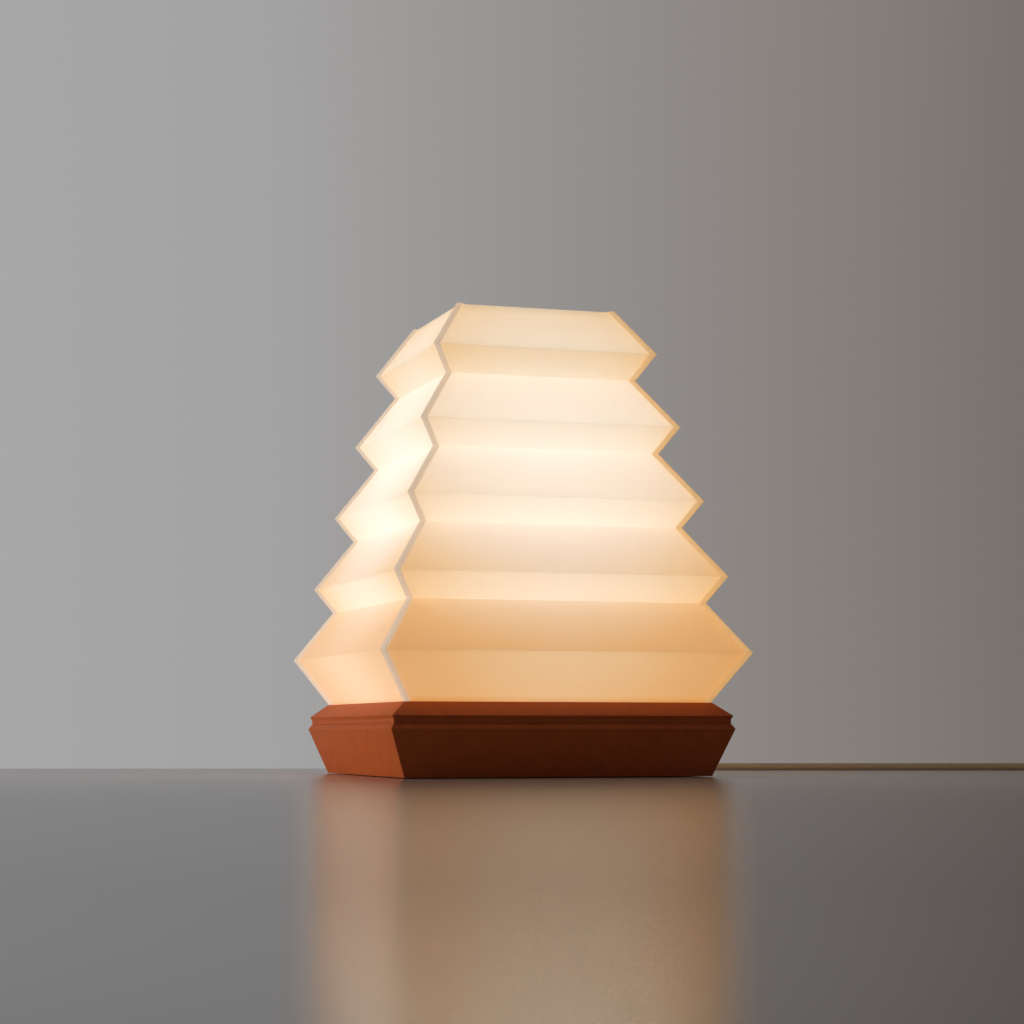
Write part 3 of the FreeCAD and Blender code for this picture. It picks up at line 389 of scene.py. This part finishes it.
def braid_look():
    """Round textile braid: fine crossed threads, with painted shade darker between them and paler
    on their tops.
    """
    color = (0.74, 0.54, 0.33)
    look = Look("beige braid", color, rough=0.8)
    across = []
    for turn in (BRAID_TURN, -BRAID_TURN):
        mapping = look.node("ShaderNodeMapping")
        mapping.inputs["Rotation"].default_value = (turn, turn, 0)
        look.link(look.place, mapping.inputs["Vector"])
        wave = look.node("ShaderNodeTexWave", wave_type="BANDS", bands_direction="X")
        wave.inputs["Scale"].default_value = BRAID_SCALE
        wave.inputs["Distortion"].default_value = 0.8
        look.link(mapping.outputs[0], wave.inputs["Vector"])
        across.append(wave.outputs["Fac"])
    both = look.node("ShaderNodeMath", operation="MULTIPLY")
    look.link(across[0], both.inputs[0])
    look.link(across[1], both.inputs[1])
    threads = both.outputs[0]
    # painted shade: the colour follows the threads' height, darker in the gaps
    look.color(look.ramp(threads, tint(color, 0.72), tint(color, 1.12), start=0.0, end=0.7))
    look.bump(threads, distance=0.0002, strength=0.7)
    look.main.inputs["Sheen Weight"].default_value = 0.15
    return look.mat


def thread_look(name, color, pitch):
    """Metal with a fine rolled thread along Z, with painted shade in its grooves."""
    look = Look(name, color, rough=0.3, metal=1.0)
    wave = look.node("ShaderNodeTexWave", wave_type="BANDS", bands_direction="Z")
    wave.inputs["Scale"].default_value = 1 / pitch / WAVES_A_METRE
    wave.inputs["Distortion"].default_value = 0.0
    look.link(look.place, wave.inputs["Vector"])
    # painted shade: the colour darkens in the thread's grooves
    look.color(look.ramp(wave.outputs["Fac"], tint(color, 0.7), color, start=0.1, end=0.9))
    look.bump(wave.outputs["Fac"], distance=pitch / 3)
    return look.mat


looks = {
    "shade_paper": paper_look(),
    "stay_card": card_look(),
    "shade_frame": frame_look(),
    "terracotta": plain_look("matt terracotta", TERRACOTTA, 0.62, grain=1300, spread=0.05,
                             depth=0.00004, shine=0.25),
    "plate_steel": plain_look("black sheet steel", (0.012, 0.012, 0.012), 0.55, grain=1800),
    "screw_steel": plain_look("zinc plate", (0.62, 0.62, 0.60), 0.3, metal=1.0, grain=700),
    "foot_rubber": plain_look("foot rubber", (0.02, 0.02, 0.02), 0.85, grain=1200),
    "stem_brass": thread_look("threaded brass", (0.72, 0.50, 0.20), STEM_PITCH),
    "holder_plastic": plain_look("holder plastic", (0.76, 0.74, 0.70), 0.45, grain=1000),
    "holder_ceramic": plain_look("holder ceramic", (0.80, 0.78, 0.73), 0.75, grain=600),
    "holder_contact": plain_look("pressed brass", (0.78, 0.56, 0.24), 0.3, metal=1.0, grain=400),
    "bulb_cap": plain_look("bulb cap metal", (0.72, 0.72, 0.73), 0.25, metal=1.0, grain=500),
    "bulb_black": plain_look("bulb insulator", (0.015, 0.015, 0.015), 0.2, grain=300, depth=0),
    "bulb_body": plain_look("bulb collar", (0.80, 0.80, 0.79), 0.3, grain=800, spread=0.02),
    "bulb_board": plain_look("bulb board", (0.80, 0.80, 0.78), 0.4, metal=0.6, grain=500),
    "bulb_globe": lit_globe_look(),
    "cord_textile": braid_look(),
    "relief_rubber": plain_look("beige rubber", (0.30, 0.20, 0.115), 0.7, grain=1200),
    "inner_nylon": plain_look("natural nylon", (0.66, 0.64, 0.57), 0.5, grain=900),
    "lead_vinyl": lead_look(),
    "switch_shell": plain_look("beige switch plastic", (0.36, 0.245, 0.14), 0.5, grain=1400),
    "switch_key": plain_look("rocker plastic", (0.29, 0.19, 0.105), 0.42, grain=1400),
    "tie_rubber": plain_look("black strap", (0.02, 0.02, 0.02), 0.8, grain=1200),
    "plug_shell": plain_look("beige plug rubber", (0.34, 0.225, 0.13), 0.6, grain=1400),
    "pin_nickel": plain_look("nickel plate", (0.72, 0.70, 0.66), 0.22, metal=1.0, grain=400),
}

slot_of = {row["node"]: row["material_slot"] for row in frame["record"]["subparts"]}


def dress(obj, slot):
    obj.data.materials.clear()
    obj.data.materials.append(looks[slot])


for name, obj in nodes.items():
    dress(obj, slot_of[name])


# ---- Pieces that stand for CAD nodes ----

def new_piece(name, mesh, node, body):
    """Links a mesh as the piece that stands for a CAD node and rides on its body."""
    obj = bpy.data.objects.new(name, mesh)
    scene.collection.objects.link(obj)
    dress(obj, slot_of[node])
    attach(obj, body)
    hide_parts(node)


def finished(name, edited, seam):
    """The edited mesh, shaded smooth but for the edges that turn by more than seam."""
    mesh = bpy.data.meshes.new(name)
    edited.to_mesh(mesh)
    edited.free()
    mesh.shade_smooth()
    mesh.set_sharp_from_angle(angle=seam)
    return mesh


def softened(node, width, body="base"):
    """The node's own shape with its sharp edges rounded off."""
    edited = bmesh.new()
    edited.from_mesh(nodes[node].data)
    bmesh.ops.remove_doubles(edited, verts=edited.verts, dist=SAME_PLACE)
    bmesh.ops.dissolve_limit(edited, angle_limit=FLAT_ANGLE, verts=edited.verts,
                             edges=edited.edges)
    sharp = [e for e in edited.edges if e.is_manifold and e.calc_face_angle(0) > SEAM_ANGLE]
    bmesh.ops.bevel(edited, geom=sharp, offset=width, segments=2, profile=0.6,
                    affect="EDGES", clamp_overlap=True)
    new_piece(node + "_rounded", finished(node + "_soft", edited, SEAM_ANGLE), node, body)


def bridge(edited, low, high, flip=False):
    """Joins two rings of vertices with faces; a ring of one vertex is a tip."""
    turns = max(len(low), len(high))
    for i in range(turns):
        j = (i + 1) % turns
        if len(low) == 1:
            face = (low[0], high[j], high[i])
        elif len(high) == 1:
            face = (low[i], low[j], high[0])
        else:
            face = (low[i], low[j], high[j], high[i])
        edited.faces.new(face[::-1] if flip else face)


def smooth_globe():
    """The lit globe, smooth where the CAD solid has bands, with a wall of glass."""
    base, top = (corner.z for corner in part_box("bulb_globe"))
    middle = top - GLOBE_R

    def line(r):
        start = math.asin((base - middle) / r)
        angles = [start + (math.pi / 2 - start) * i / GLOBE_STEPS for i in range(GLOBE_STEPS)]
        return [(r * math.cos(a), middle + r * math.sin(a)) for a in angles] + [(0, middle + r)]

    edited = bmesh.new()
    rings = []
    for r, z in line(GLOBE_R - GLOBE_WALL)[::-1] + line(GLOBE_R):
        turns = GLOBE_TURNS if r else 1
        rings.append([edited.verts.new((r * math.cos(2 * math.pi * i / turns),
                                        r * math.sin(2 * math.pi * i / turns), z))
                      for i in range(turns)])
    for low, high in zip(rings, rings[1:]):
        bridge(edited, low, high)
    name = "bulb_globe_smooth"
    new_piece(name, finished(name, edited, GLOBE_SEAM), "bulb_globe", "bulb")


def cap_thread():
    """The cap's rolled thread: a thin wall whose radius follows a helix."""
    low_corner, high_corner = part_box("bulb_cap")
    low, high, r = low_corner.z, high_corner.z, high_corner.x
    rows = int((high - low) / CAP_PITCH * CAP_ROWS_A_PITCH)
    edited = bmesh.new()
    sheets = []
    for offset in (0, CAP_WALL):
        grid = []
        for row in range(rows + 1):
            z = low + (high - low) * row / rows
            fade = min(1, (z - low) / CAP_PITCH * 2, (high - z) / CAP_PITCH * 2)
            ring = []
            for i in range(CAP_TURNS):
                a = 2 * math.pi * i / CAP_TURNS
                wave = 0.5 - 0.5 * math.cos(2 * math.pi * (z / CAP_PITCH) - a)
                radius = r - CAP_DEPTH * wave * fade - offset
                ring.append(edited.verts.new((radius * math.cos(a), radius * math.sin(a), z)))
            grid.append(ring)
        sheets.append(grid)
    outer, inner = sheets
    for grid, flip in ((outer, False), (inner, True)):
        for low_ring, high_ring in zip(grid, grid[1:]):
            bridge(edited, low_ring, high_ring, flip)
    for row, flip in ((0, True), (-1, False)):
        bridge(edited, outer[row], inner[row], flip)
    name = "bulb_cap_thread"
    new_piece(name, finished(name, edited, THREAD_SEAM), "bulb_cap", "bulb")


smooth_globe()
for node, width in EDGE_WIDTHS.items():
    softened(node, width)
softened("switch_rocker", ROCKER_EDGE, "rocker")
cap_thread()


# ---- The cord ----

def coil_points():
    """Corners round each half turn, in towards the middle, up a layer, and out again."""
    x, side = COIL_MIDDLE[0] + COIL_R, 1
    points = []
    for k, r in enumerate(HALF_TURNS):
        centre = x - side * r
        reach = r / math.cos(math.pi / CORNERS / 2)
        for i in range(CORNERS):
            a = math.pi * (i + 0.5) / CORNERS
            share = (i + 0.5) / CORNERS
            z = LOW_Z if k < CLIMB else HIGH_Z
            if k == CLIMB:
                z = LOW_Z + (HIGH_Z - LOW_Z) * share ** 2 * (3 - 2 * share)
            points.append((centre + side * reach * math.cos(a),
                           COIL_MIDDLE[1] - side * reach * math.sin(a), z))
        x -= side * 2 * r
        side = -side
    return points


def cord_curve(name, points):
    """A round curve through corner points given in millimetres."""
    data = bpy.data.curves.new(name, "CURVE")
    data.dimensions = "3D"
    data.bevel_depth = CORD_R
    data.bevel_resolution = 3
    data.resolution_u = 4
    data.use_fill_caps = True
    line = data.splines.new("NURBS")
    line.points.add(len(points) - 1)
    for spot, place in zip(line.points, points):
        spot.co = (*(c * MM for c in place), 1)
    line.order_u = 3
    line.use_endpoint_u = True
    obj = bpy.data.objects.new(name, data)
    scene.collection.objects.link(obj)
    obj.data.materials.append(looks["cord_textile"])
    return obj


flex = cord_curve("textile_cord", ROUTE + coil_points() + TAIL)
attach(flex, "base")
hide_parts("cord_run", "cord_lead", "cord_coil", "cord_tail")
on_cord = [bpy.data.objects[n] for n in (
    "switch_lower_rounded", "switch_upper_rounded", "switch_rocker_rounded",
    "coil_tie_rounded", "plug_body_rounded")]
on_cord += [nodes[n] for n in ("cord_relief", "switch_screws", "plug_relief", "plug_pins")]


# ---- Studio ----

def table_look():
    """A satin top with painted light, darker towards the camera and paler towards the far edge."""
    look = Look("satin table", (0.2, 0.2, 0.2), TABLE_ROUGH)
    depth = look.node("ShaderNodeVectorMath", operation="DOT_PRODUCT")
    depth.inputs[1].default_value = (math.sin(VIEW_TURN), math.cos(VIEW_TURN), 0)
    look.link(look.place, depth.inputs[0])
    # painted light: the top's colour grows paler with depth along the view
    painted_far_light = look.between(depth.outputs["Value"], 0.0, 1.0, start=TABLE_DARK_TO, end=TABLE_FAR)
    look.color(look.ramp(painted_far_light, *TABLE_PAINTED_TONES, start=0.3, end=1.0))
    look.shine(0.5)
    look.bump(look.noise(140), distance=0.0001, strength=0.2)
    return look.mat


def table_top():
    """A pale table top that ends, with a rounded edge, a little way behind the lamp."""
    line = [(TABLE_NEAR, -TABLE_THICK), (TABLE_NEAR, 0.0)]
    for i in range(TABLE_ROUND_STEPS + 1):
        a = math.pi / 2 * i / TABLE_ROUND_STEPS
        line.append((TABLE_FAR - TABLE_ROUND + TABLE_ROUND * math.sin(a),
                     -TABLE_ROUND * (1 - math.cos(a))))
    line.append((TABLE_FAR, -TABLE_THICK))
    edited = bmesh.new()
    rows = []
    for depth, z in line:
        row = []
        for across in (-TABLE_SIDE, TABLE_SIDE):
            x = across * math.cos(VIEW_TURN) + depth * math.sin(VIEW_TURN)
            y = -across * math.sin(VIEW_TURN) + depth * math.cos(VIEW_TURN)
            row.append(edited.verts.new((x, y, z)))
        rows.append(row)
    for a, b in zip(rows, rows[1:] + rows[:1]):
        edited.faces.new((a[0], a[1], b[1], b[0]))
    edited.faces.new([row[0] for row in rows])
    edited.faces.new([row[1] for row in rows[::-1]])
    name = "table_top"
    obj = bpy.data.objects.new(name, finished(name, edited, SEAM_ANGLE))
    scene.collection.objects.link(obj)
    obj.data.materials.append(table_look())


def area_light(name, place, target, size, power, color):
    """A light that the satin table does not mirror; it would show as a white patch."""
    data = bpy.data.lights.new(name, "AREA")
    data.shape = "RECTANGLE"
    data.size, data.size_y = size
    data.energy = power
    data.color = color
    obj = bpy.data.objects.new(name, data)
    scene.collection.objects.link(obj)
    obj.location = place
    way = Vector(target) - Vector(place)
    obj.rotation_euler = way.to_track_quat("-Z", "Y").to_euler()
    obj.visible_glossy = False
    return obj


def studio_air():
    """Soft light all round, and the plain backdrop: lighter on the left, as in the photograph."""
    world = bpy.data.worlds.new("studio air")
    scene.world = world
    world.use_nodes = True
    tree = world.node_tree
    air = tree.nodes["Background"]
    air.inputs["Color"].default_value = (*AIR_COLOR, 1)
    air.inputs["Strength"].default_value = AIR_LIGHT
    across = node_in(tree, "ShaderNodeVectorMath", operation="DOT_PRODUCT")
    across.inputs[1].default_value = (math.cos(VIEW_TURN), -math.sin(VIEW_TURN), 0)
    coord = node_in(tree, "ShaderNodeTexCoord")
    tree.links.new(coord.outputs["Generated"], across.inputs[0])
    spread = node_in(tree, "ShaderNodeMapRange")
    spread.inputs["From Min"].default_value = -BACKDROP_SIDE
    spread.inputs["From Max"].default_value = BACKDROP_SIDE
    tree.links.new(across.outputs["Value"], spread.inputs["Value"])
    # painted light: the backdrop seen by the camera is lighter on the left
    ramp = node_in(tree, "ShaderNodeValToRGB")
    fill_ramp(ramp, BACKDROP)
    tree.links.new(spread.outputs["Result"], ramp.inputs["Fac"])
    backdrop = node_in(tree, "ShaderNodeBackground")
    tree.links.new(ramp.outputs["Color"], backdrop.inputs["Color"])
    rays = node_in(tree, "ShaderNodeLightPath")
    seen = rays.outputs["Is Camera Ray"]
    for kind in ("Is Glossy Ray", "Is Transmission Ray"):
        either = node_in(tree, "ShaderNodeMath", operation="MAXIMUM")
        tree.links.new(seen, either.inputs[0])
        tree.links.new(rays.outputs[kind], either.inputs[1])
        seen = either.outputs[0]
    mix = node_in(tree, "ShaderNodeMixShader")
    tree.links.new(seen, mix.inputs["Fac"])
    tree.links.new(air.outputs[0], mix.inputs[1])
    tree.links.new(backdrop.outputs[0], mix.inputs[2])
    tree.links.new(mix.outputs[0], tree.nodes["World Output"].inputs["Surface"])


table_top()
area_light("key", KEY_AT, KEY_TARGET, KEY_SIZE, KEY_POWER, KEY_COLOR)
low_strip = area_light("low_strip", LOW_AT, LOW_TARGET, LOW_SIZE, LOW_POWER, LOW_COLOR)
low_strip.data.spread = LOW_SPREAD
studio_air()

camera_data = bpy.data.cameras.new("camera")
camera_data.lens = LENS
camera_data.sensor_width = SENSOR_WIDTH
camera_data.clip_start = NEAREST_SEEN
camera = bpy.data.objects.new("camera", camera_data)
scene.collection.objects.link(camera)
camera.location = CAMERA_AT
camera.rotation_euler = (math.pi / 2 + VIEW_TILT, 0, -VIEW_TURN)
scene.camera = camera
scene.view_settings.view_transform = "Standard"
